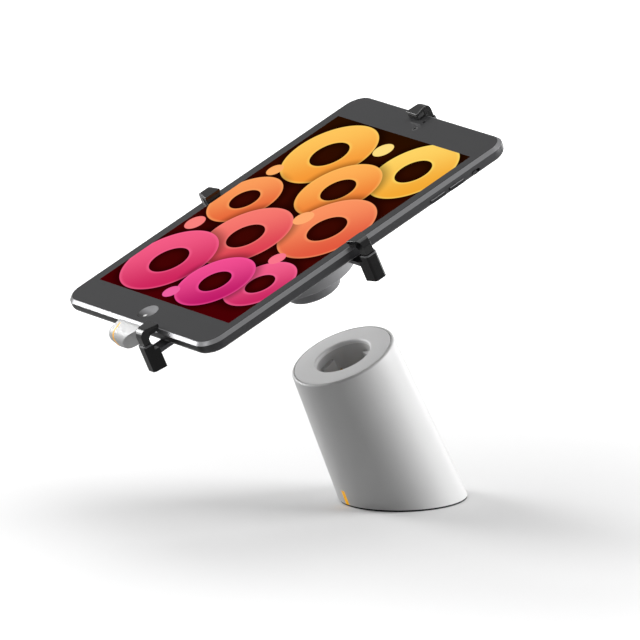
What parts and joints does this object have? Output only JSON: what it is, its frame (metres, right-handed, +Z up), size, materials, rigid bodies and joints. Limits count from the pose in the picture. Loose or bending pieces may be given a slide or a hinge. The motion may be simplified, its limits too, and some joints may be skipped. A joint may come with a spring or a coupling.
{
  "type": "tablet security kiosk stand",
  "caption": "Leaning round dock column with a lift-off head whose sliding arms and clips hold a tablet, shown raised above its docking well.",
  "frame": {"origin": "centre of the foot on the counter, on the leaning column's axis", "axes": "+Z up, +X the user's right, +Y away from the user; the column leans 25 degrees towards the user (-Y)"},
  "size_m": [0.1498, 0.2056, 0.2007],
  "materials": {
    "white_shell": "satin",
    "plate_grey": "satin",
    "puck_grey": "satin",
    "hub_dark": "matte",
    "arm_dark": "satin",
    "clip_black": "gloss",
    "rubber": "matte",
    "steel": "brushed",
    "cast_weight": "cast",
    "magnet": "plated",
    "contact_brass": "bright",
    "board_green": "satin",
    "battery_grey": "matte",
    "sounder_black": "matte",
    "amber_light": "translucent",
    "tablet_grey": "anodised",
    "bezel_glass": "gloss",
    "screen": "lit",
    "lens_black": "gloss"
  },
  "bodies": {
    "base": {"base_shell": "white_shell", "top_plate": "plate_grey", "dock_socket": "plate_grey", "dock_keys": "puck_grey", "dock_magnet": "magnet", "dock_board": "board_green", "power_socket": "steel", "ballast": "cast_weight", "base_plate": "steel", "base_screws": "steel", "foot_pad": "rubber", "status_light": "amber_light"},
    "dock_pins": {"contact_pins": "contact_brass"},
    "head": {"dock_plug": "puck_grey", "plug_contacts": "contact_brass", "plug_keeper": "steel", "puck_housing": "puck_grey", "puck_board": "board_green", "puck_battery": "battery_grey", "alarm_sounder": "sounder_black", "hub_cover": "hub_dark", "hub_plate": "hub_dark", "hub_pad": "rubber", "hub_screws": "steel", "tablet_housing": "tablet_grey", "front_glass": "bezel_glass", "display": "screen", "tablet_battery": "battery_grey", "tablet_board": "board_green", "front_camera": "lens_black", "rear_camera": "lens_black"},
    "home": {"home_button": "bezel_glass"},
    "vol_up": {"volume_up": "tablet_grey"},
    "vol_down": {"volume_down": "tablet_grey"},
    "mute": {"mute_switch": "tablet_grey"},
    "sleep": {"sleep_button": "tablet_grey"},
    "pod": {"pod_shell": "white_shell", "pod_light": "amber_light", "pod_connector": "steel"},
    "right_slider": {"right_arm": "arm_dark", "right_block": "clip_black", "right_screw": "steel"},
    "right_clip": {"right_hook": "clip_black", "right_pad": "rubber"},
    "left_slider": {"left_arm": "arm_dark", "left_block": "clip_black", "left_screw": "steel"},
    "left_clip": {"left_hook": "clip_black", "left_pad": "rubber"},
    "top_slider": {"top_arm": "arm_dark", "top_block": "clip_black", "top_screw": "steel"},
    "top_clip": {"top_hook": "clip_black", "top_pad": "rubber"},
    "bottom_slider": {"bottom_arm": "arm_dark", "bottom_block": "clip_black", "bottom_screw": "steel"},
    "bottom_clip": {"bottom_hook": "clip_black", "bottom_pad": "rubber"}
  },
  "joints": [
    {"name": "head_lift", "type": "slide", "parent": "base", "child": "head", "axis": [0, -0.4226, 0.9063], "range_m": [-0.0495, 0.02]},
    {"name": "pin_press", "type": "slide", "parent": "base", "child": "dock_pins", "axis": [0, -0.4226, 0.9063], "range_m": [-0.0012, 0], "stiffness_N_per_m": 400, "springref_m": 0.0006},
    {"name": "home_press", "type": "slide", "parent": "head", "child": "home", "axis": [0, -0.4226, 0.9063], "range_m": [-0.0004, 0], "stiffness_N_per_m": 900, "springref_m": 0.0003},
    {"name": "volume_up_press", "type": "slide", "parent": "head", "child": "vol_up", "axis": [1, 0, 0], "range_m": [-0.0003, 0], "stiffness_N_per_m": 900, "springref_m": 0.0003},
    {"name": "volume_down_press", "type": "slide", "parent": "head", "child": "vol_down", "axis": [1, 0, 0], "range_m": [-0.0003, 0], "stiffness_N_per_m": 900, "springref_m": 0.0003},
    {"name": "mute_slide", "type": "slide", "parent": "head", "child": "mute", "axis": [0, 0.9063, 0.4226], "range_m": [0, 0.0016]},
    {"name": "sleep_press", "type": "slide", "parent": "head", "child": "sleep", "axis": [0, 0.9063, 0.4226], "range_m": [-0.0003, 0], "stiffness_N_per_m": 900, "springref_m": 0.0003},
    {"name": "pod_pull", "type": "slide", "parent": "head", "child": "pod", "axis": [0, -0.9063, -0.4226], "range_m": [0, 0.012]},
    {"name": "right_arm_slide", "type": "slide", "parent": "head", "child": "right_slider", "axis": [1, 0, 0], "range_m": [-0.0058, 0.012]},
    {"name": "right_hook_lift", "type": "slide", "parent": "right_slider", "child": "right_clip", "axis": [0, -0.4226, 0.9063], "range_m": [0, 0.004]},
    {"name": "left_arm_slide", "type": "slide", "parent": "head", "child": "left_slider", "axis": [-1, 0, 0], "range_m": [0, 0.015]},
    {"name": "left_hook_lift", "type": "slide", "parent": "left_slider", "child": "left_clip", "axis": [0, -0.4226, 0.9063], "range_m": [0, 0.004]},
    {"name": "top_arm_slide", "type": "slide", "parent": "head", "child": "top_slider", "axis": [0, 0.9063, 0.4226], "range_m": [0, 0.015]},
    {"name": "top_hook_lift", "type": "slide", "parent": "top_slider", "child": "top_clip", "axis": [0, -0.4226, 0.9063], "range_m": [0, 0.004]},
    {"name": "bottom_arm_slide", "type": "slide", "parent": "head", "child": "bottom_slider", "axis": [0, -0.9063, -0.4226], "range_m": [-0.0058, 0.012]},
    {"name": "bottom_hook_lift", "type": "slide", "parent": "bottom_slider", "child": "bottom_clip", "axis": [0, -0.4226, 0.9063], "range_m": [0, 0.004]}
  ]
}
